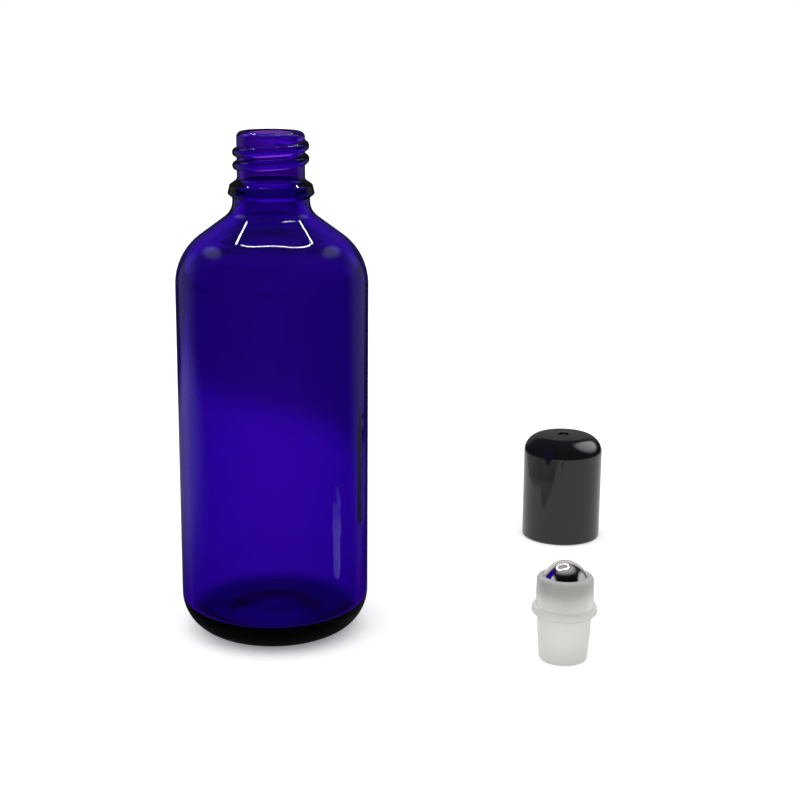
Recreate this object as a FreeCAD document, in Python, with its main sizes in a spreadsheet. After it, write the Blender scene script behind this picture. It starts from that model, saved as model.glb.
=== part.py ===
import FreeCAD, Part
import math
import os

import PartDesign  # brings in the body and feature types
import Sketcher

# Roll-on bottle taken apart: a glass bottle with a screw neck, and beside it on the table
# the roll-on insert (housing and steel ball) and the screw cap, each standing by itself.
# The origin is the centre of the bottle's base, with Z up along the bottle's axis.
# Lengths are in millimetres and angles in degrees.

SIZES = {
    # Glass body
    "bottle_height": 120.0,
    "body_radius": 22.5,
    "glass_wall": 2.4,
    "heel_rounding": 9.6,
    "shoulder_slope": 53.6,  # from the upright
    "shoulder_rounding": 14.15,
    # Base, with a shallow push-up inside the ring that the bottle stands on
    "base_thickness": 6.0,
    "bearing_width": 2.0,
    "bearing_rounding": 0.6,
    "push_up": 1.8,
    "push_up_flat": 6.0,
    "push_up_rounding": 5.0,
    "base_mark_radius": 4.4,  # ring moulded into the middle of the push-up
    "base_mark_width": 0.7,
    "base_mark_depth": 0.35,
    "inner_heel_rounding": 2.5,
    "floor_dome": 1.0,
    "floor_rounding": 15.0,
    # Collar under the bead, down to where the slope of the shoulder meets it
    "collar_radius": 9.0,
    "collar_length": 3.05,
    "collar_rounding": 4.4,
    # Bead under the thread
    "bead_drop": 15.15,  # lip down to the underside
    "bead_radius": 10.1,
    "bead_thickness": 4.2,
    "bead_edge": 0.9,  # underside up to the widest line
    "bead_face": 2.1,  # slanted face above the widest line
    "bead_taper": 0.5,
    "bead_rounding": 0.45,
    "bead_root_rounding": 0.9,
    # Neck and mouth
    "bore_radius": 6.3,
    "neck_wall": 1.57,
    "lip_rounding": 1.3,
    "mouth_rounding": 0.2,
    # Thread on the neck
    "thread_pitch": 3.0,
    "thread_turns": 2.0,
    "thread_depth": 1.0,
    "thread_section": 1.2,
    "thread_drop": 8.47,  # lip down to the middle of the ridge where it starts
    "thread_start": 100.0,  # angle round the neck from the X axis
    # Roll-on insert: plug, flange and the cup that holds the ball
    "plug_clearance": 0.05,
    "plug_length": 11.07,
    "plug_taper": 0.65,
    "plug_taper_length": 7.5,
    "plug_taper_rounding": 12.0,
    "plug_wall": 1.0,
    "tip_rounding": 0.5,
    "flange_ledge": 0.88,
    "flange_thickness": 2.2,
    "flange_chamfer": 0.55,
    "flange_rounding": 0.7,
    "cup_height": 7.18,
    "cup_wall": 1.0,
    "cup_draft": 0.15,
    "cup_rounding": 1.2,
    "ball_radius": 5.5,
    "ball_sink": 2.24,  # lip of the cup down to the ball's centre
    "cage_clearance": 0.12,
    "seat_thickness": 1.6,
    "feed_radius": 1.4,
    "side_feed_radius": 0.6,
    "side_feed_ring": 2.9,
    "side_feed_count": 4,
    # Screw cap: outer shell, thread, and an inner skirt that lands on the flange
    "cap_height": 29.7,
    "cap_wall": 1.89,
    "cap_roof": 2.4,
    "cap_crown": 0.4,
    "cap_edge_rounding": 4.9,
    "cap_rim_rounding": 0.5,
    "cap_mouth_chamfer": 0.35,
    "cap_bead_gap": 0.9,
    "thread_clearance": 0.24,  # between the crest on the neck and the cap's wall
    "crest_clearance": 0.43,  # between the crest in the cap and the neck
    "cap_thread_turns": 1.5,
    "cap_thread_rise": 2.2,
    "skirt_clearance": 0.3,
    "skirt_wall": 0.9,
    "skirt_rounding": 0.25,
    "skirt_gap_drop": 1.0,
    "gate_radius": 1.6,
    "gate_depth": 0.5,
    "nub_radius": 0.6,
    "nub_height": 0.3,
    # Where the loose pieces stand on the table
    "insert_stand_x": 67.0,
    "insert_stand_y": -25.0,
    "cap_stand_x": 82.0,
    "cap_stand_y": 65.0,
}

doc = FreeCAD.newDocument("RollOnBottle")
sheet = doc.addObject("Spreadsheet::Sheet", "dims")
for row, (alias, value) in enumerate(SIZES.items(), start=1):
    sheet.set(f"A{row}", alias)
    sheet.set(f"B{row}", str(value))
    sheet.setAlias(f"B{row}", alias)
doc.recompute()

# Sizes that follow from the driving ones, as expressions
NECK_RADIUS = "(dims.bore_radius + dims.neck_wall)"
THREAD_PATH = f"({NECK_RADIUS} + dims.thread_depth - dims.thread_section)"
BEAD_BASE = "(dims.bottle_height - dims.bead_drop)"
BEAD_SHOULDER = f"({BEAD_BASE} + dims.bead_edge + dims.bead_face)"
COLLAR_CORNER = f"({BEAD_BASE} - dims.collar_length)"
SHOULDER_CORNER = f"({COLLAR_CORNER} - (dims.body_radius - dims.collar_radius) / tan(dims.shoulder_slope))"
BASE_MARK_TOP = "(dims.push_up + dims.base_mark_depth)"
BEARING_INNER = "(dims.body_radius - dims.heel_rounding - dims.bearing_width)"
INNER_RADIUS = "(dims.body_radius - dims.glass_wall)"
INNER_SHOULDER = f"({SHOULDER_CORNER} - dims.glass_wall * tan(dims.shoulder_slope / 2))"
INNER_COLLAR = f"({INNER_SHOULDER} + ({INNER_RADIUS} - dims.bore_radius) / tan(dims.shoulder_slope))"

PLUG_RADIUS = "(dims.bore_radius - dims.plug_clearance)"
PLUG_TIP = f"({PLUG_RADIUS} - dims.plug_taper)"
PLUG_BORE = f"({PLUG_TIP} - dims.plug_wall)"
SOCKET_RADIUS = "(dims.ball_radius + dims.cage_clearance)"
CUP_RADIUS = f"({SOCKET_RADIUS} + dims.cup_wall)"
CUP_BASE = f"({CUP_RADIUS} + dims.cup_draft)"
FLANGE_RADIUS = f"({CUP_BASE} + dims.flange_ledge)"
FLANGE_TOP = "(dims.plug_length + dims.flange_thickness)"
CUP_LIP = f"({FLANGE_TOP} + dims.cup_height)"
BALL_CENTRE = f"({CUP_LIP} - dims.ball_sink)"
SEAT_FLOOR = f"({BALL_CENTRE} - {SOCKET_RADIUS} - dims.seat_thickness)"

CAP_BORE = f"({NECK_RADIUS} + dims.thread_depth + dims.thread_clearance)"
CAP_RADIUS = f"({CAP_BORE} + dims.cap_wall)"
CAP_THREAD_SECTION = f"({CAP_BORE} - {NECK_RADIUS} - dims.crest_clearance)"
CAP_CEILING = "(dims.cap_height - dims.cap_roof)"
SKIRT_GAP_TOP = f"({CAP_CEILING} - dims.skirt_gap_drop)"
GATE_FLOOR = "(dims.cap_height - dims.gate_depth)"
NUB_TOP = f"({GATE_FLOOR} + dims.nub_height)"
SKIRT_INNER = f"({CUP_BASE} + dims.skirt_clearance)"
SKIRT_OUTER = f"({SKIRT_INNER} + dims.skirt_wall)"
# The skirt ends on the flange when the cap is screwed down to just above the bead
SKIRT_END = "(dims.bead_drop - dims.bead_thickness - dims.cap_bead_gap + dims.flange_thickness)"

UP = FreeCAD.Vector(0, 0, 1)

# Numbers of a sketch's own axes, and of the points of a line, arc or circle
X_AXIS_INDEX = -1
Y_AXIS_INDEX = -2
START_INDEX = 1
END_INDEX = 2
CENTRE_INDEX = 3


def evaluate(expression):
    return float(sheet.evalExpression(expression))


def add_sketch(body, name, plane_role):
    """A sketch on one of the body's own origin planes."""
    sketch = body.newObject("Sketcher::SketchObject", name)
    plane = next(item for item in body.Origin.OriginFeatures if item.Role == plane_role)
    sketch.AttachmentSupport = [(plane, "")]
    sketch.MapMode = "FlatFace"
    return sketch


def bind(sketch, constraint, expression):
    """Adds a dimension and ties it to the sheet."""
    index = sketch.addConstraint(constraint)
    sketch.setExpression(f"Constraints[{index}]", expression)


def place_point(sketch, geometry, end, across, up):
    """Fixes one point of the sketch; '0' puts it on the axis itself."""
    if across == "0":
        sketch.addConstraint(Sketcher.Constraint("PointOnObject", geometry, end, Y_AXIS_INDEX))
    else:
        size = evaluate(across)
        bind(sketch, Sketcher.Constraint("DistanceX", X_AXIS_INDEX, START_INDEX, geometry, end, size), across)
    if up == "0":
        sketch.addConstraint(Sketcher.Constraint("PointOnObject", geometry, end, X_AXIS_INDEX))
    else:
        size = evaluate(up)
        bind(sketch, Sketcher.Constraint("DistanceY", X_AXIS_INDEX, START_INDEX, geometry, end, size), up)


def rounded_outline(sketch, corners):
    """A closed outline of straight sides. Each corner is (across, up, rounding), rounding '0' if sharp."""
    count = len(corners)
    points = [FreeCAD.Vector(evaluate(across), evaluate(up), 0) for across, up, _ in corners]
    radii = [evaluate(rounding) for _, _, rounding in corners]
    ahead = [(points[(i + 1) % count] - points[i]).normalize() for i in range(count)]
    back = [(points[i - 1] - points[i]).normalize() for i in range(count)]
    half = [back[i].getAngle(ahead[i]) / 2 for i in range(count)]
    trim = [radii[i] / math.tan(half[i]) for i in range(count)]

    sides = []
    for i in range(count):
        after = (i + 1) % count
        start = points[i] + ahead[i] * trim[i]
        stop = points[after] + back[after] * trim[after]
        sides.append(sketch.addGeometry(Part.LineSegment(start, stop), False))

    for i, (across, up, rounding) in enumerate(corners):
        before = sides[i - 1]
        after = sides[i]
        if radii[i] == 0:
            sketch.addConstraint(Sketcher.Constraint("Coincident", before, END_INDEX, after, START_INDEX))
            place_point(sketch, after, START_INDEX, across, up)
            continue
        centre = points[i] + (back[i] + ahead[i]).normalize() * (radii[i] / math.sin(half[i]))
        arrive = points[i] + back[i] * trim[i] - centre
        leave = points[i] + ahead[i] * trim[i] - centre
        turns_left = back[i].cross(ahead[i]).z < 0
        first, last = (arrive, leave) if turns_left else (leave, arrive)
        circle = Part.Circle(centre, UP, radii[i])
        angles = [math.atan2(spoke.y, spoke.x) for spoke in (first, last)]
        arc = sketch.addGeometry(Part.ArcOfCircle(circle, *angles), False)
        corner = sketch.addGeometry(Part.Point(points[i]), True)
        arrive_end, leave_end = (START_INDEX, END_INDEX) if turns_left else (END_INDEX, START_INDEX)
        sketch.addConstraint(
            [
                Sketcher.Constraint("Tangent", before, END_INDEX, arc, arrive_end),
                Sketcher.Constraint("Tangent", arc, leave_end, after, START_INDEX),
                Sketcher.Constraint("PointOnObject", corner, START_INDEX, before),
                Sketcher.Constraint("PointOnObject", corner, START_INDEX, after),
            ]
        )
        bind(sketch, Sketcher.Constraint("Radius", arc, radii[i]), rounding)
        place_point(sketch, corner, START_INDEX, across, up)


def add_circle(sketch, across, radius):
    """A full circle centred on the sketch's X axis."""
    circle = Part.Circle(FreeCAD.Vector(evaluate(across), 0, 0), UP, evaluate(radius))
    index = sketch.addGeometry(circle, False)
    bind(sketch, Sketcher.Constraint("Radius", index, evaluate(radius)), radius)
    place_point(sketch, index, CENTRE_INDEX, across, "0")


def revolved_body(name, corners):
    """A body turned about the Z axis from a rounded outline."""
    body = doc.addObject("PartDesign::Body", name)
    sketch = add_sketch(body, f"{name}_outline", "XZ_Plane")
    rounded_outline(sketch, corners)
    doc.recompute()
    turned = body.newObject("PartDesign::Revolution", f"{name}_turned")
    turned.Profile = sketch
    turned.ReferenceAxis = (sketch, ["V_Axis"])
    turned.Angle = 360
    doc.recompute()
    return body


def drill_up(body, name, sketch):
    """A hole from the plug end up into the socket."""
    doc.recompute()
    hole = body.newObject("PartDesign::Pocket", name)
    hole.Profile = sketch
    hole.Reversed = True
    hole.setExpression("Length", BALL_CENTRE)
    doc.recompute()
    return hole


def helical_ridge(name, path_radius, section_radius, turns):
    """A round ridge swept along a right-handed helix that starts on the X axis at the origin."""
    path = doc.addObject("Part::Helix", f"{name}_path")
    path.setExpression("Pitch", "dims.thread_pitch")
    path.setExpression("Height", f"dims.thread_pitch * {turns}")
    path.setExpression("Radius", path_radius)
    section = doc.addObject("Part::Circle", f"{name}_section")
    section.setExpression("Radius", section_radius)
    section.Placement.Rotation = FreeCAD.Rotation(FreeCAD.Vector(1, 0, 0), 90)
    section.setExpression("Placement.Base.x", path_radius)
    ridge = doc.addObject("Part::Sweep", f"{name}_ridge")
    ridge.Sections = [section]
    ridge.Spine = (path, ["Edge1"])
    ridge.Solid = True
    ridge.Frenet = True
    return ridge


def boolean(kind, name, base, tool):
    result = doc.addObject(kind, name)
    result.Base = base
    result.Tool = tool
    return result


def run_out(name, angle, reach_back, height):
    """A block beyond the plane that touches the neck at the ridge's end, so that the ridge fades there."""
    block = doc.addObject("Part::Box", name)
    reach = "dims.thread_section * 4"
    overlap = "dims.thread_section * 0.3"
    along = f"(0 - {reach})" if reach_back else f"(0 - {overlap})"
    block.setExpression("Length", "dims.thread_section * 2")
    block.setExpression("Width", f"{reach} + {overlap}")
    block.setExpression("Height", "dims.thread_pitch")
    block.Placement.Rotation = FreeCAD.Rotation(UP, evaluate(angle))
    block.setExpression("Placement.Rotation.Angle", angle)
    block.setExpression("Placement.Base.x", f"{NECK_RADIUS} * cos({angle}) - {along} * sin({angle})")
    block.setExpression("Placement.Base.y", f"{NECK_RADIUS} * sin({angle}) + {along} * cos({angle})")
    block.setExpression("Placement.Base.z", f"{height} - dims.thread_pitch / 2")
    return block


def stand_on_table(piece, prefix):
    piece.setExpression("Placement.Base.x", f"dims.{prefix}_stand_x")
    piece.setExpression("Placement.Base.y", f"dims.{prefix}_stand_y")


def make_bottle():
    glass = revolved_body(
        "bottle_glass",
        [
            ("0", "dims.push_up", "0"),
            ("dims.base_mark_radius - dims.base_mark_width / 2", "dims.push_up", "0"),
            ("dims.base_mark_radius - dims.base_mark_width / 2", BASE_MARK_TOP, "0"),
            ("dims.base_mark_radius + dims.base_mark_width / 2", BASE_MARK_TOP, "0"),
            ("dims.base_mark_radius + dims.base_mark_width / 2", "dims.push_up", "0"),
            ("dims.push_up_flat", "dims.push_up", "dims.push_up_rounding"),
            (BEARING_INNER, "0", "dims.bearing_rounding"),
            ("dims.body_radius", "0", "dims.heel_rounding"),
            ("dims.body_radius", SHOULDER_CORNER, "dims.shoulder_rounding"),
            ("dims.collar_radius", COLLAR_CORNER, "dims.collar_rounding"),
            ("dims.collar_radius", BEAD_BASE, "0"),
            ("dims.bead_radius", f"{BEAD_BASE} + dims.bead_edge", "dims.bead_rounding"),
            ("dims.bead_radius - dims.bead_taper", BEAD_SHOULDER, "dims.bead_rounding"),
            (NECK_RADIUS, f"{BEAD_BASE} + dims.bead_thickness", "dims.bead_root_rounding"),
            (NECK_RADIUS, "dims.bottle_height", "dims.lip_rounding"),
            ("dims.bore_radius", "dims.bottle_height", "dims.mouth_rounding"),
            ("dims.bore_radius", INNER_COLLAR, "dims.collar_rounding + dims.glass_wall"),
            (INNER_RADIUS, INNER_SHOULDER, "dims.shoulder_rounding - dims.glass_wall"),
            (INNER_RADIUS, "dims.base_thickness", "dims.inner_heel_rounding"),
            ("dims.push_up_flat", "dims.base_thickness + dims.floor_dome", "dims.floor_rounding"),
            ("0", "dims.base_thickness + dims.floor_dome", "0"),
        ],
    )
    ridge = helical_ridge("neck_thread", THREAD_PATH, "dims.thread_section", "dims.thread_turns")
    climb = "dims.thread_pitch / 24"
    start = run_out("run_out_start", "0", False, climb)
    top = f"dims.thread_pitch * dims.thread_turns - {climb}"
    stop = run_out("run_out_stop", "360 * dims.thread_turns", True, top)
    ridge = boolean("Part::Cut", "neck_thread_from_start", ridge, start)
    ridge = boolean("Part::Cut", "neck_thread_to_stop", ridge, stop)
    # The ridge is rooted half-way into the neck's wall, clear of the bore
    core = doc.addObject("Part::Cylinder", "neck_core")
    core.setExpression("Radius", "dims.bore_radius + dims.neck_wall / 2")
    core.setExpression("Height", "dims.thread_pitch * (dims.thread_turns + 2)")
    core.setExpression("Placement.Base.z", "-dims.thread_pitch")
    ridge = boolean("Part::Cut", "neck_thread", ridge, core)
    ridge.Placement.Rotation = FreeCAD.Rotation(UP, evaluate("dims.thread_start"))
    ridge.setExpression("Placement.Rotation.Angle", "dims.thread_start")
    ridge.setExpression("Placement.Base.z", "dims.bottle_height - dims.thread_drop")
    bottle = boolean("Part::Fuse", "bottle", glass, ridge)
    bottle.Label = "bottle"
    return bottle


def make_housing():
    housing = revolved_body(
        "roller_housing",
        [
            (PLUG_BORE, "0", "0"),
            (PLUG_TIP, "0", "dims.tip_rounding"),
            (PLUG_RADIUS, "dims.plug_taper_length", "dims.plug_taper_rounding"),
            (PLUG_RADIUS, "dims.plug_length", "0"),
            (f"{FLANGE_RADIUS} - dims.flange_chamfer", "dims.plug_length", "0"),
            (FLANGE_RADIUS, "dims.plug_length + dims.flange_chamfer", "0"),
            (FLANGE_RADIUS, FLANGE_TOP, "dims.flange_rounding"),
            (CUP_BASE, FLANGE_TOP, "0"),
            (CUP_RADIUS, CUP_LIP, "dims.cup_rounding"),
            ("0", CUP_LIP, "0"),
            ("0", SEAT_FLOOR, "0"),
            (PLUG_BORE, SEAT_FLOOR, "0"),
        ],
    )
    solid_volume = housing.Shape.Volume

    socket = add_sketch(housing, "socket_outline", "XZ_Plane")
    centre_height = evaluate(BALL_CENTRE)
    radius = evaluate(SOCKET_RADIUS)
    centre = FreeCAD.Vector(0, centre_height, 0)
    circle = Part.Circle(centre, UP, radius)
    arc = socket.addGeometry(Part.ArcOfCircle(circle, -math.pi / 2, math.pi / 2), False)
    low = centre - FreeCAD.Vector(0, radius, 0)
    high = centre + FreeCAD.Vector(0, radius, 0)
    axis = socket.addGeometry(Part.LineSegment(high, low), False)
    socket.addConstraint(
        [
            Sketcher.Constraint("Coincident", arc, END_INDEX, axis, START_INDEX),
            Sketcher.Constraint("Coincident", axis, END_INDEX, arc, START_INDEX),
            Sketcher.Constraint("PointOnObject", axis, START_INDEX, Y_AXIS_INDEX),
            Sketcher.Constraint("PointOnObject", axis, END_INDEX, Y_AXIS_INDEX),
        ]
    )
    bind(socket, Sketcher.Constraint("Radius", arc, radius), SOCKET_RADIUS)
    place_point(socket, arc, CENTRE_INDEX, "0", BALL_CENTRE)
    doc.recompute()
    cavity = housing.newObject("PartDesign::Groove", "socket")
    cavity.Profile = socket
    cavity.ReferenceAxis = (socket, ["V_Axis"])
    cavity.Angle = 360
    doc.recompute()
    cupped_volume = housing.Shape.Volume

    # Product runs from the plug to the ball through one middle hole and a ring of small ones
    middle = add_sketch(housing, "feed_outline", "XY_Plane")
    add_circle(middle, "0", "dims.feed_radius")
    drill_up(housing, "feed_hole", middle)
    ring = add_sketch(housing, "side_feed_outline", "XY_Plane")
    add_circle(ring, "dims.side_feed_ring", "dims.side_feed_radius")
    side_feed = drill_up(housing, "side_feed_hole", ring)
    pattern = housing.newObject("PartDesign::PolarPattern", "side_feed_holes")
    pattern.Originals = [side_feed]
    pattern.Axis = (ring, ["N_Axis"])
    pattern.Angle = 360
    pattern.setExpression("Occurrences", "dims.side_feed_count")
    housing.Tip = pattern
    doc.recompute()
    if not housing.Shape.Volume < cupped_volume < solid_volume:
        raise RuntimeError("the socket or the feed holes cut nothing")

    stand_on_table(housing, "insert")
    housing.Label = "roller_housing"
    return housing


def make_ball():
    ball = doc.addObject("Part::Sphere", "roller_ball")
    ball.setExpression("Radius", "dims.ball_radius")
    stand_on_table(ball, "insert")
    ball.setExpression("Placement.Base.z", BALL_CENTRE)
    ball.Label = "roller_ball"
    return ball


def make_cap():
    shell = revolved_body(
        "cap_shell",
        [
            (f"{CAP_BORE} + dims.cap_mouth_chamfer", "0", "0"),
            (CAP_RADIUS, "0", "dims.cap_rim_rounding"),
            (CAP_RADIUS, "dims.cap_height - dims.cap_crown", "dims.cap_edge_rounding"),
            ("dims.gate_radius", "dims.cap_height", "0"),
            ("dims.gate_radius", GATE_FLOOR, "0"),
            ("dims.nub_radius", GATE_FLOOR, "0"),
            ("dims.nub_radius", NUB_TOP, "0"),
            ("0", NUB_TOP, "0"),
            ("0", CAP_CEILING, "0"),
            (SKIRT_INNER, CAP_CEILING, "dims.skirt_rounding"),
            (SKIRT_INNER, SKIRT_END, "dims.skirt_rounding"),
            (SKIRT_OUTER, SKIRT_END, "dims.skirt_rounding"),
            (SKIRT_OUTER, SKIRT_GAP_TOP, "dims.skirt_rounding"),
            (CAP_BORE, SKIRT_GAP_TOP, "dims.skirt_rounding"),
            (CAP_BORE, "dims.cap_mouth_chamfer", "0"),
        ],
    )
    ridge = helical_ridge("cap_thread", CAP_BORE, CAP_THREAD_SECTION, "dims.cap_thread_turns")
    ridge.setExpression("Placement.Base.z", "dims.cap_thread_rise")
    cap = boolean("Part::Fuse", "cap", shell, ridge)
    stand_on_table(cap, "cap")
    cap.Label = "cap"
    return cap


pieces = [make_bottle(), make_housing(), make_ball(), make_cap()]
doc.recompute()

for item in doc.Objects:
    if "Invalid" in item.State or "Error" in item.State:
        raise RuntimeError(f"{item.Label} did not build: {item.State}")
for piece in pieces:
    if piece.Shape.isNull() or not piece.Shape.isValid() or len(piece.Shape.Solids) != 1:
        raise RuntimeError(f"{piece.Label} is not one valid solid")

os.makedirs("parts", exist_ok=True)
for piece in pieces:
    piece.Shape.exportStep(os.path.join("parts", f"{piece.Label}.step"))
    print(f"{piece.Label}: {piece.Shape.Volume:.1f} cubic mm")
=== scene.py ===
import math

import bpy
from mathutils import Matrix, Quaternion, Vector


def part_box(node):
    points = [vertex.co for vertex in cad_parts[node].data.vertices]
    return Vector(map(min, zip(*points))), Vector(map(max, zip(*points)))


# Roll-on bottle taken apart on a white table: blue glass bottle, roll-on insert and screw cap.
# Lengths are in metres unless a comment says otherwise. The bottle stands on the Z axis, at height zero.

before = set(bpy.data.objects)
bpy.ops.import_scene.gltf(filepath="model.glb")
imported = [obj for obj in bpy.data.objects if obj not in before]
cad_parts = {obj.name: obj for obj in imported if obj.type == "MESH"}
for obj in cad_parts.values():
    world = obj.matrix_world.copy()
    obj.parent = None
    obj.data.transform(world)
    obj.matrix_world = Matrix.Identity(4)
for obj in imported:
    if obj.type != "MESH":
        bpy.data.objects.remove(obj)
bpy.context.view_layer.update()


def colour(red, green, blue):
    return (red, green, blue, 1.0)


MM = 0.001
WHITE = colour(1.0, 1.0, 1.0)
BODY_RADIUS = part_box("bottle")[1].x
SIDES = ((-1, "left"), (1, "right"))
SQUARE = ((-1, -1), (1, -1), (1, 1), (-1, 1))
ROUND_STEPS = 96

# Camera, matched to the outline of the bottle in the photograph
CAMERA_PLACE = Vector((0.0, -380.4 * MM, 151.0 * MM))
CAMERA_TURN = math.radians(4.539)  # to the right of straight ahead
CAMERA_TILT = math.radians(13.939)  # below the horizon
CAMERA_ROLL = math.radians(0.477)
CAMERA_LENS = 73.94  # in millimetres, as the sensor's width is
SENSOR_WIDTH = 36.0

# Range that holds most values of a noise
NOISE_LOW = 0.3
NOISE_HIGH = 0.7

# Glass and both plastics bend light alike
REFRACTION = 1.5

# Blue glass: a tinted skin, colour from its depth, smudges in the gloss and slow waves in the surface
GLASS_SKIN = colour(0.516, 0.3, 0.908)
GLASS_DEPTH = colour(0.55, 0.1, 0.83)
GLASS_DENSITY = 1070.0
GLASS_ROUGHNESS = (0.0, 0.03)
SMUDGE_SCALE = 140.0
WAVE_SCALE = 55.0
WAVE_HEIGHT = 0.03 * MM

# Black plastic: fine wear in the gloss and faint ripple from moulding
BLACK = colour(0.006, 0.006, 0.007)
BLACK_ROUGHNESS = (0.04, 0.11)
WEAR_SCALE = 900.0
RIPPLE_SCALE = 90.0
RIPPLE_HEIGHT = 0.04 * MM

# Milky plastic: its colour by the share of the insert's height, with painted shade of the ball at the cup
# that holds it
MILKY_COLOUR_AND_PAINTED_SHADE = (
    (0.6, colour(0.97, 0.97, 0.94)),
    (0.9, colour(0.7, 0.7, 0.68)),
)
MILKY_TRANSMISSION = 0.75
MILKY_ROUGHNESS = (0.36, 0.44)
SKIN_SCALE = 700.0
SKIN_HEIGHT = 0.005 * MM

# Polished steel: hair-fine marks, finer still along Z
STEEL = colour(0.62, 0.61, 0.59)
STEEL_ROUGHNESS = (0.03, 0.08)
MARK_SCALE = 1800.0
MARK_STRETCH = (1.0, 1.0, 6.0)

# Table, and the two sheets that lie on it without touching it or the pieces
TABLE_COLOUR = colour(0.93, 0.93, 0.93)
TABLE_ROUGHNESS = 0.9
TABLE_REACH = 4.0
TABLE_DROP = 0.05 * MM
FILL_DROP = 0.04 * MM
FILL_STRENGTH = 0.25
GLOW_DROP = 0.02 * MM
GLOW_STRENGTH = 0.55

# Round wall that shows through the glass, and its light by height. It stands off the bottle's axis,
# so that its lower edge slants behind the bottle, as the light does in the photograph.
WALL_CENTRE = Vector((-229, -144, 0)) * MM
WALL_RADIUS = 400 * MM
WALL_HEIGHT = 500 * MM
WALL_LIGHT = (
    (0.0, 1.03),
    (3.5 * MM, 0.96),
    (7 * MM, 0.81),
    (10.5 * MM, 0.64),
    (16 * MM, 0.51),
    (28 * MM, 0.46),
    (65 * MM, 0.47),
    (73 * MM, 0.57),
    (82 * MM, 0.5),
    (90 * MM, 0.28),
    (96 * MM, 0.34),
    (102 * MM, 0.72),
    (110 * MM, 1.2),
    (WALL_HEIGHT, 1.25),
)

# Rounded square of small lamps overhead, measured along the middle of its band
LAMP_CENTRE = Vector((11, 164, 400)) * MM
LAMP_HALF_WIDTH = 152 * MM
LAMP_CORNER = 110 * MM
LAMP_BAND = 6 * MM
LAMP_STRENGTH = 30.0

# Cards that mirror in the pieces: the share of a card, from its rim inwards, over which its light grows
# to full, and how far the cards beside the bottle stand from its axis, in millimetres
FADE_SHARE = 0.6
SIDE_DISTANCE = 200

# World: its soft light, and what the gloss mirrors, which is lightest in one direction, up and back
AMBIENT = 0.5
MIRROR_DARKEST = 0.004
MIRROR_LIGHTEST = 0.04
MIRROR_HEADING = (0.0, 0.6, 0.8)
MIRROR_START = 0.1  # how far a direction leans that way before it gets lighter

SUN_WIDTH = math.radians(100)


def middle(node):
    """Centre of a node's box at rest."""
    low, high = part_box(node)
    return (low + high) / 2


def new_material(name):
    """An empty node material and its tree."""
    material = bpy.data.materials.new(name)
    material.use_nodes = True
    tree = material.node_tree
    tree.nodes.clear()
    return material, tree


def add_node(tree, kind, **settings):
    node = tree.nodes.new(kind)
    for name, value in settings.items():
        setattr(node, name, value)
    return node


def set_inputs(node, values):
    for name, value in values.items():
        node.inputs[name].default_value = value


def add_principled(tree, **values):
    """A Principled shader on the tree's surface output."""
    shader = add_node(tree, "ShaderNodeBsdfPrincipled")
    set_inputs(shader, {name.replace("_", " "): value for name, value in values.items()})
    output = add_node(tree, "ShaderNodeOutputMaterial")
    tree.links.new(shader.outputs["BSDF"], output.inputs["Surface"])
    return shader, output


def add_noise(tree, scale, detail=2.0, roughness=0.5, stretch=(1.0, 1.0, 1.0)):
    """Noise in the object's own space; scale is in cells per metre."""
    place = add_node(tree, "ShaderNodeTexCoord")
    mapping = add_node(tree, "ShaderNodeMapping")
    mapping.inputs["Scale"].default_value = stretch
    noise = add_node(tree, "ShaderNodeTexNoise")
    set_inputs(noise, {"Scale": scale, "Detail": detail, "Roughness": roughness})
    tree.links.new(place.outputs["Object"], mapping.inputs["Vector"])
    tree.links.new(mapping.outputs["Vector"], noise.inputs["Vector"])
    return noise.outputs["Fac"]


def add_height(tree, space):
    """Height in a space of the texture coordinates."""
    place = add_node(tree, "ShaderNodeTexCoord")
    axes = add_node(tree, "ShaderNodeSeparateXYZ")
    tree.links.new(place.outputs[space], axes.inputs["Vector"])
    return axes.outputs["Z"]


def spread(tree, source, low, high):
    """Maps the middle of a noise onto the range from low to high."""
    span = add_node(tree, "ShaderNodeMapRange")
    set_inputs(span, {"From Min": NOISE_LOW, "From Max": NOISE_HIGH, "To Min": low, "To Max": high})
    tree.links.new(source, span.inputs["Value"])
    return span.outputs["Result"]


def add_bump(tree, source, height):
    """A surface that rises by height as the source goes from nought to one."""
    bump = add_node(tree, "ShaderNodeBump")
    bump.inputs["Distance"].default_value = height
    tree.links.new(source, bump.inputs["Height"])
    return bump.outputs["Normal"]


def glass_material():
    """Cobalt glass: a tinted skin, and more colour from the depth of glass that the light crosses."""
    material, tree = new_material("blue_glass")
    shader, output = add_principled(tree, Base_Color=GLASS_SKIN, Transmission_Weight=1.0, IOR=REFRACTION)
    smudges = add_noise(tree, SMUDGE_SCALE, detail=4.0, roughness=0.6)
    tree.links.new(spread(tree, smudges, *GLASS_ROUGHNESS), shader.inputs["Roughness"])
    waves = add_noise(tree, WAVE_SCALE, detail=1.0)
    tree.links.new(add_bump(tree, waves, WAVE_HEIGHT), shader.inputs["Normal"])
    body = add_node(tree, "ShaderNodeVolumeAbsorption")
    set_inputs(body, {"Color": GLASS_DEPTH, "Density": GLASS_DENSITY})
    tree.links.new(body.outputs["Volume"], output.inputs["Volume"])
    return material


def black_plastic_material():
    """Glossy black plastic with faint moulding ripple and fine wear."""
    material, tree = new_material("black_plastic")
    shader, _ = add_principled(tree, Base_Color=BLACK, IOR=REFRACTION)
    wear = add_noise(tree, WEAR_SCALE, detail=6.0, roughness=0.7)
    tree.links.new(spread(tree, wear, *BLACK_ROUGHNESS), shader.inputs["Roughness"])
    ripple = add_noise(tree, RIPPLE_SCALE, detail=1.0)
    tree.links.new(add_bump(tree, ripple, RIPPLE_HEIGHT), shader.inputs["Normal"])
    return material


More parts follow.
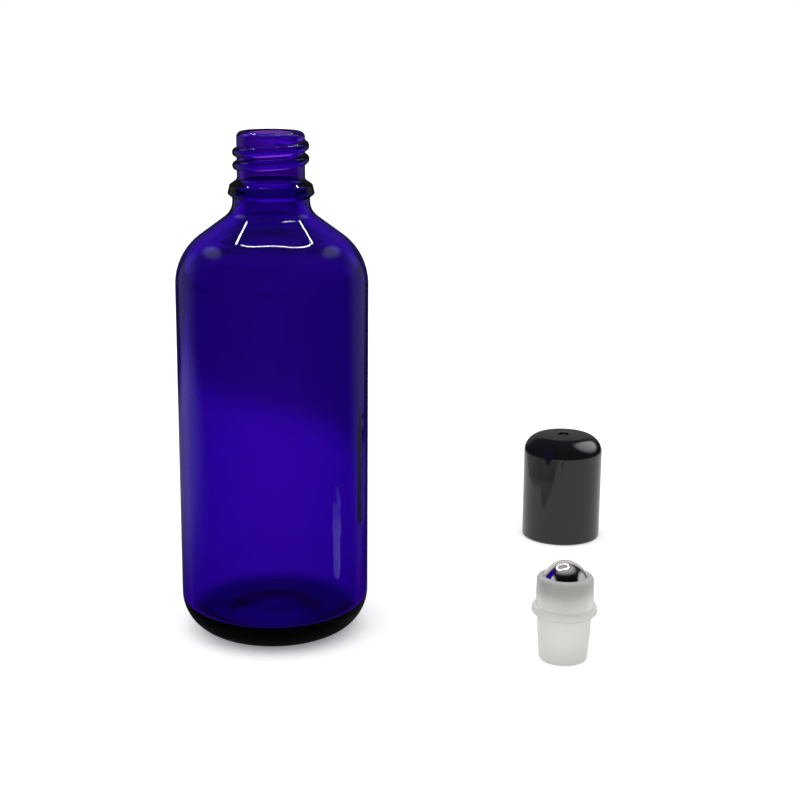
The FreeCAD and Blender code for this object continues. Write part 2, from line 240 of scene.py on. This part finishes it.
def frosted_plastic_material():
    """Milky natural plastic with a fine matt skin, and painted shade on the cup where the ball shows through.
    """
    material, tree = new_material("frosted_plastic")
    shader, _ = add_principled(tree, Transmission_Weight=MILKY_TRANSMISSION, IOR=REFRACTION)
    # Low on the insert the plastic keeps its own milky colour; towards the top of the cup it turns grey, a
    # painted shade of the ball seen through the wall
    painted_ball_shade = add_node(tree, "ShaderNodeValToRGB")
    painted_ball_shade.color_ramp.interpolation = "EASE"
    for stop, (share, stop_colour) in zip(painted_ball_shade.color_ramp.elements, MILKY_COLOUR_AND_PAINTED_SHADE):
        stop.position = share
        stop.color = stop_colour
    tree.links.new(add_height(tree, "Generated"), painted_ball_shade.inputs["Fac"])
    tree.links.new(painted_ball_shade.outputs["Color"], shader.inputs["Base Color"])
    skin = add_noise(tree, SKIN_SCALE, detail=3.0)
    tree.links.new(spread(tree, skin, *MILKY_ROUGHNESS), shader.inputs["Roughness"])
    tree.links.new(add_bump(tree, skin, SKIN_HEIGHT), shader.inputs["Normal"])
    return material


def steel_material():
    """Polished steel with hair-fine marks from rolling."""
    material, tree = new_material("polished_steel")
    shader, _ = add_principled(tree, Base_Color=STEEL, Metallic=1.0)
    marks = add_noise(tree, MARK_SCALE, detail=5.0, roughness=0.7, stretch=MARK_STRETCH)
    tree.links.new(spread(tree, marks, *STEEL_ROUGHNESS), shader.inputs["Roughness"])
    return material


def table_material():
    """Plain pale matt."""
    material, tree = new_material("table")
    add_principled(tree, Base_Color=TABLE_COLOUR, Roughness=TABLE_ROUGHNESS)
    return material


def add_emission(tree):
    """An Emission shader on the tree's surface output."""
    glow = add_node(tree, "ShaderNodeEmission")
    output = add_node(tree, "ShaderNodeOutputMaterial")
    tree.links.new(glow.outputs["Emission"], output.inputs["Surface"])
    return glow


def emission_material(name, strength):
    """Even white light."""
    material, tree = new_material(name)
    set_inputs(add_emission(tree), {"Color": WHITE, "Strength": strength})
    return material


def add_clear_glow(tree):
    """An Emission shader on a clear sheet, on the tree's surface output."""
    glow = add_node(tree, "ShaderNodeEmission")
    clear = add_node(tree, "ShaderNodeBsdfTransparent")
    both = add_node(tree, "ShaderNodeAddShader")
    output = add_node(tree, "ShaderNodeOutputMaterial")
    tree.links.new(glow.outputs["Emission"], both.inputs[0])
    tree.links.new(clear.outputs["BSDF"], both.inputs[1])
    tree.links.new(both.outputs["Shader"], output.inputs["Surface"])
    return glow


def clear_light_material(name, strength):
    """Even white light on a clear sheet."""
    material, tree = new_material(name)
    set_inputs(add_clear_glow(tree), {"Color": WHITE, "Strength": strength})
    return material


def soft_glow_material(name, strength):
    """Light that is full in the middle of a card and fades to nothing at its rim, on a clear sheet."""
    material, tree = new_material(name)
    place = add_node(tree, "ShaderNodeTexCoord")
    fade = add_node(tree, "ShaderNodeTexGradient", gradient_type="SPHERICAL")
    ease = add_node(tree, "ShaderNodeMapRange", interpolation_type="SMOOTHSTEP")
    set_inputs(ease, {"From Min": 0.0, "From Max": FADE_SHARE, "To Min": 0.0, "To Max": strength})
    glow = add_clear_glow(tree)
    tree.links.new(place.outputs["Object"], fade.inputs["Vector"])
    tree.links.new(fade.outputs["Fac"], ease.inputs["Value"])
    tree.links.new(ease.outputs["Result"], glow.inputs["Strength"])
    return material


def wall_material():
    """White light that follows WALL_LIGHT up the wall."""
    material, tree = new_material("back_wall")
    share = add_node(tree, "ShaderNodeMath", operation="DIVIDE")
    share.inputs[1].default_value = WALL_HEIGHT
    # The curve holds values up to one, so it is drawn at a share of the brightest light
    brightest = max(level for _, level in WALL_LIGHT)
    ramp = add_node(tree, "ShaderNodeFloatCurve")
    curve = ramp.mapping.curves[0]
    # Each missing point starts half-way, and then all the points take their places in order
    while len(curve.points) < len(WALL_LIGHT):
        curve.points.new(0.5, 0.5)
    for point, (height, level) in zip(curve.points, WALL_LIGHT):
        point.location = (height / WALL_HEIGHT, level / brightest)
    ramp.mapping.update()
    scale = add_node(tree, "ShaderNodeMath", operation="MULTIPLY")
    scale.inputs[1].default_value = brightest
    glow = add_emission(tree)
    tree.links.new(add_height(tree, "Object"), share.inputs[0])
    tree.links.new(share.outputs["Value"], ramp.inputs["Value"])
    tree.links.new(ramp.outputs["Value"], scale.inputs[0])
    tree.links.new(scale.outputs["Value"], glow.inputs["Strength"])
    return material


def finish_node(name, material):
    """Gives a CAD node its material."""
    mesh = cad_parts[name].data
    mesh.materials.clear()
    mesh.materials.append(material)


def make_mesh(name, points, faces, material):
    mesh = bpy.data.meshes.new(name)
    mesh.from_pydata(points, [], faces)
    mesh.materials.append(material)
    piece = bpy.data.objects.new(name, mesh)
    bpy.context.scene.collection.objects.link(piece)
    return piece


def make_sheet(name, rim, material):
    """One flat face inside a rim of points."""
    return make_mesh(name, rim, [range(len(rim))], material)


def loop(centre, radius, straight=0.0):
    """Points round a level circle, or round a square with such corners and with sides twice straight long."""
    points = []
    for step in range(ROUND_STEPS):
        turn = 2 * math.pi * step / ROUND_STEPS
        heading = Vector((math.cos(turn), math.sin(turn), 0))
        corner = Vector((math.copysign(straight, heading.x), math.copysign(straight, heading.y), 0))
        points.append(centre + corner + heading * radius)
    return points


def make_band(name, first_loop, second_loop, material):
    """A closed strip between two loops."""
    following = [(step + 1) % ROUND_STEPS for step in range(ROUND_STEPS)]
    faces = [(step, after, ROUND_STEPS + after, ROUND_STEPS + step) for step, after in enumerate(following)]
    return make_mesh(name, first_loop + second_loop, faces, material)


def only_seen_by(piece, *rays):
    """Hides a piece from every kind of ray but the given ones."""
    for ray in ("camera", "diffuse", "glossy", "transmission", "volume_scatter", "shadow"):
        setattr(piece, f"visible_{ray}", ray in rays)


def only_lights(source, *nodes):
    """Keeps the light of a lamp or a glowing piece off everything but the given nodes."""
    receivers = bpy.data.collections.new(f"{source.name}_receivers")
    for node in nodes:
        receivers.objects.link(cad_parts[node])
    source.light_linking.receiver_collection = receivers


def make_camera():
    data = bpy.data.cameras.new("camera")
    data.lens = CAMERA_LENS
    data.sensor_width = SENSOR_WIDTH
    camera = bpy.data.objects.new("camera", data)
    bpy.context.scene.collection.objects.link(camera)
    ahead = Vector(
        (
            math.sin(CAMERA_TURN) * math.cos(CAMERA_TILT),
            math.cos(CAMERA_TURN) * math.cos(CAMERA_TILT),
            -math.sin(CAMERA_TILT),
        )
    )
    camera.location = CAMERA_PLACE
    camera.rotation_mode = "QUATERNION"
    camera.rotation_quaternion = ahead.to_track_quat("-Z", "Y") @ Quaternion((0, 0, 1), CAMERA_ROLL)
    bpy.context.scene.camera = camera


def make_floor(name, drop, material):
    """A wide level sheet just under the pieces."""
    corners = [(x * TABLE_REACH, y * TABLE_REACH, -drop) for x, y in SQUARE]
    floor = make_sheet(name, corners, material)
    return floor


def make_table():
    """The pale table, which mirrors in nothing."""
    table = make_floor("table", TABLE_DROP, table_material())
    table.visible_glossy = False


def make_shadow_fill():
    """A clear glowing sheet on the table that thins the shadows there for the camera alone."""
    sheet = make_floor("shadow_fill", FILL_DROP, clear_light_material("shadow_fill", FILL_STRENGTH))
    only_seen_by(sheet, "camera")


def make_base_glow():
    """Light that passes the bottle to the table under it, seen only through the glass."""
    rim = loop(Vector((0, 0, -GLOW_DROP)), BODY_RADIUS)
    glow = make_sheet("base_glow", rim, emission_material("base_glow", GLOW_STRENGTH))
    only_seen_by(glow, "transmission")


def make_back_wall():
    """A pale wall round the table that only shows through the glass."""
    low = loop(WALL_CENTRE, WALL_RADIUS)
    high = loop(WALL_CENTRE + Vector((0, 0, WALL_HEIGHT)), WALL_RADIUS)
    wall = make_band("back_wall", low, high, wall_material())
    only_seen_by(wall, "transmission")


def make_lamp_frame():
    """A thin frame of small lamps overhead, seen as fine white lines in the gloss."""
    straight = LAMP_HALF_WIDTH - LAMP_CORNER
    inner = loop(LAMP_CENTRE, LAMP_CORNER - LAMP_BAND / 2, straight)
    outer = loop(LAMP_CENTRE, LAMP_CORNER + LAMP_BAND / 2, straight)
    lamp = make_band("lamp_frame", inner, outer, clear_light_material("lamp_frame", LAMP_STRENGTH))
    only_seen_by(lamp, "glossy")
    only_lights(lamp, "bottle", "roller_ball", "roller_housing")


def add_reflector(name, *nodes, centre, across, along, strength, about=Vector()):
    """A soft card that only mirrors in the given nodes.

    Centre, across and along are in millimetres. Centre is measured from the point about, and across and
    along reach from the centre to the rim.
    """
    corners = [(x, y, 0) for x, y in SQUARE]
    card = make_sheet(name, corners, soft_glow_material(name, strength))
    across = Vector(across) * MM
    along = Vector(along) * MM
    normal = across.cross(along).normalized() * MM
    card.matrix_world = Matrix((across, along, normal)).transposed().to_4x4()
    card.location = about + Vector(centre) * MM
    only_seen_by(card, "glossy")
    only_lights(card, *nodes)


def make_bottle_reflectors():
    """Side walls of the light box, the panels over them, and the table to the left and at the heel."""
    for side, name in SIDES:
        add_reflector(
            f"upper_panel_{name}",
            "bottle",
            centre=(side * SIDE_DISTANCE, 90, 280),
            across=(0, 110, 0),
            along=(0, 0, 70),
            strength=0.55,
        )
        add_reflector(
            f"wall_{name}",
            "bottle",
            centre=(side * SIDE_DISTANCE, 150, 70),
            across=(0, 150, 0),
            along=(0, 0, 160),
            strength=0.14,
        )
    add_reflector(
        "table_left",
        "bottle",
        centre=(-170, 110, 0),
        across=(190, 0, 0),
        along=(0, 150, 0),
        strength=0.16,
    )
    add_reflector(
        "table_at_heel",
        "bottle",
        centre=(0, 0, 0),
        across=(44, 0, 0),
        along=(0, 44, 0),
        strength=0.05,
    )


def make_cap_reflectors():
    """The table round the cap and the insert, a window to the right of the cap, and the room behind it."""
    cap = middle("cap")
    add_reflector(
        "table_round_cap",
        "cap",
        "roller_ball",
        "roller_housing",
        centre=(85, 25, 0),
        across=(270, 0, 0),
        along=(0, 240, 0),
        strength=0.95,
    )
    add_reflector(
        "window_by_cap",
        "cap",
        centre=(190, 60, 190),
        across=(0, 220, 0),
        along=(-110, 0, 160),
        strength=3.0,
        about=cap,
    )
    add_reflector(
        "room_behind_cap",
        "cap",
        centre=(0, 250, 90),
        across=(260, 0, 0),
        along=(0, 0, 120),
        strength=0.15,
        about=cap,
    )


def make_ball_reflectors():
    """The pale room round the steel ball, dark only in front."""
    ball = middle("roller_ball")
    add_reflector(
        "ball_room_back",
        "roller_ball",
        centre=(0, 170, 70),
        across=(260, 0, 0),
        along=(0, 0, 150),
        strength=0.75,
        about=ball,
    )
    add_reflector(
        "ball_room_top",
        "roller_ball",
        centre=(0, 60, 230),
        across=(240, 0, 0),
        along=(0, 220, 0),
        strength=0.5,
        about=ball,
    )
    for side, name in SIDES:
        add_reflector(
            f"ball_room_{name}",
            "roller_ball",
            centre=(side * 180, 0, 40),
            across=(0, 150, 0),
            along=(0, 0, 120),
            strength=0.7,
            about=ball,
        )


def add_background(tree, strength=1.0):
    """Even white light from all round."""
    background = add_node(tree, "ShaderNodeBackground")
    set_inputs(background, {"Color": WHITE, "Strength": strength})
    return background


def add_mirror_background(tree):
    """What the gloss mirrors: dark in front, and lighter towards the top and the back."""
    heading = add_node(tree, "ShaderNodeTexCoord")
    lean = add_node(tree, "ShaderNodeVectorMath", operation="DOT_PRODUCT")
    lean.inputs[1].default_value = MIRROR_HEADING
    level = add_node(tree, "ShaderNodeMapRange", interpolation_type="SMOOTHSTEP")
    set_inputs(level, {"From Min": MIRROR_START, "From Max": 1.0})
    set_inputs(level, {"To Min": MIRROR_DARKEST, "To Max": MIRROR_LIGHTEST})
    background = add_background(tree)
    tree.links.new(heading.outputs["Generated"], lean.inputs[0])
    tree.links.new(lean.outputs["Value"], level.inputs["Value"])
    tree.links.new(level.outputs["Result"], background.inputs["Strength"])
    return background


def mix_shaders(tree, share, first, second):
    """The first shader where share is nought, and the second where it is one."""
    mix = add_node(tree, "ShaderNodeMixShader")
    tree.links.new(share, mix.inputs["Fac"])
    tree.links.new(first, mix.inputs[1])
    tree.links.new(second, mix.inputs[2])
    return mix.outputs["Shader"]


def make_world():
    """White behind everything, soft light all round, and little to mirror."""
    world = bpy.data.worlds.new("studio")
    bpy.context.scene.world = world
    world.use_nodes = True
    tree = world.node_tree
    tree.nodes.clear()
    path = add_node(tree, "ShaderNodeLightPath")
    # One for a ray that gloss throws back, and nought for one that passes through the glass
    mirrored = add_node(tree, "ShaderNodeMath", operation="MULTIPLY")
    tree.links.new(path.outputs["Is Glossy Ray"], mirrored.inputs[0])
    tree.links.new(path.outputs["Is Reflection Ray"], mirrored.inputs[1])
    ambient = add_background(tree, AMBIENT).outputs["Background"]
    mirror = add_mirror_background(tree).outputs["Background"]
    white = add_background(tree).outputs["Background"]
    unseen = mix_shaders(tree, mirrored.outputs["Value"], ambient, mirror)
    whole = mix_shaders(tree, path.outputs["Is Camera Ray"], unseen, white)
    output = add_node(tree, "ShaderNodeOutputWorld")
    tree.links.new(whole, output.inputs["Surface"])


def add_sun(name, *hidden_from, strength, turn_x, turn_y):
    """A wide soft light from far off, turned by degrees from straight down."""
    data = bpy.data.lights.new(name, "SUN")
    data.energy = strength
    data.angle = SUN_WIDTH
    lamp = bpy.data.objects.new(name, data)
    bpy.context.scene.collection.objects.link(lamp)
    lamp.rotation_euler = (math.radians(turn_x), math.radians(turn_y), 0)
    for ray in hidden_from:
        setattr(lamp, f"visible_{ray}", False)
    return lamp


def make_suns():
    """Even light from above, and light from behind that passes through the milky plastic."""
    add_sun("soft_top_light", "camera", "glossy", "transmission", strength=2.3, turn_x=12, turn_y=-8)
    back_light = add_sun("insert_back_light", "camera", "glossy", strength=3.0, turn_x=-60, turn_y=0)
    only_lights(back_light, "roller_housing")


finish_node("bottle", glass_material())
finish_node("cap", black_plastic_material())
finish_node("roller_housing", frosted_plastic_material())
finish_node("roller_ball", steel_material())

make_camera()
make_table()
make_shadow_fill()
make_base_glow()
make_back_wall()
make_lamp_frame()
make_bottle_reflectors()
make_cap_reflectors()
make_ball_reflectors()
make_world()
make_suns()
bpy.context.scene.view_settings.view_transform = "Standard"
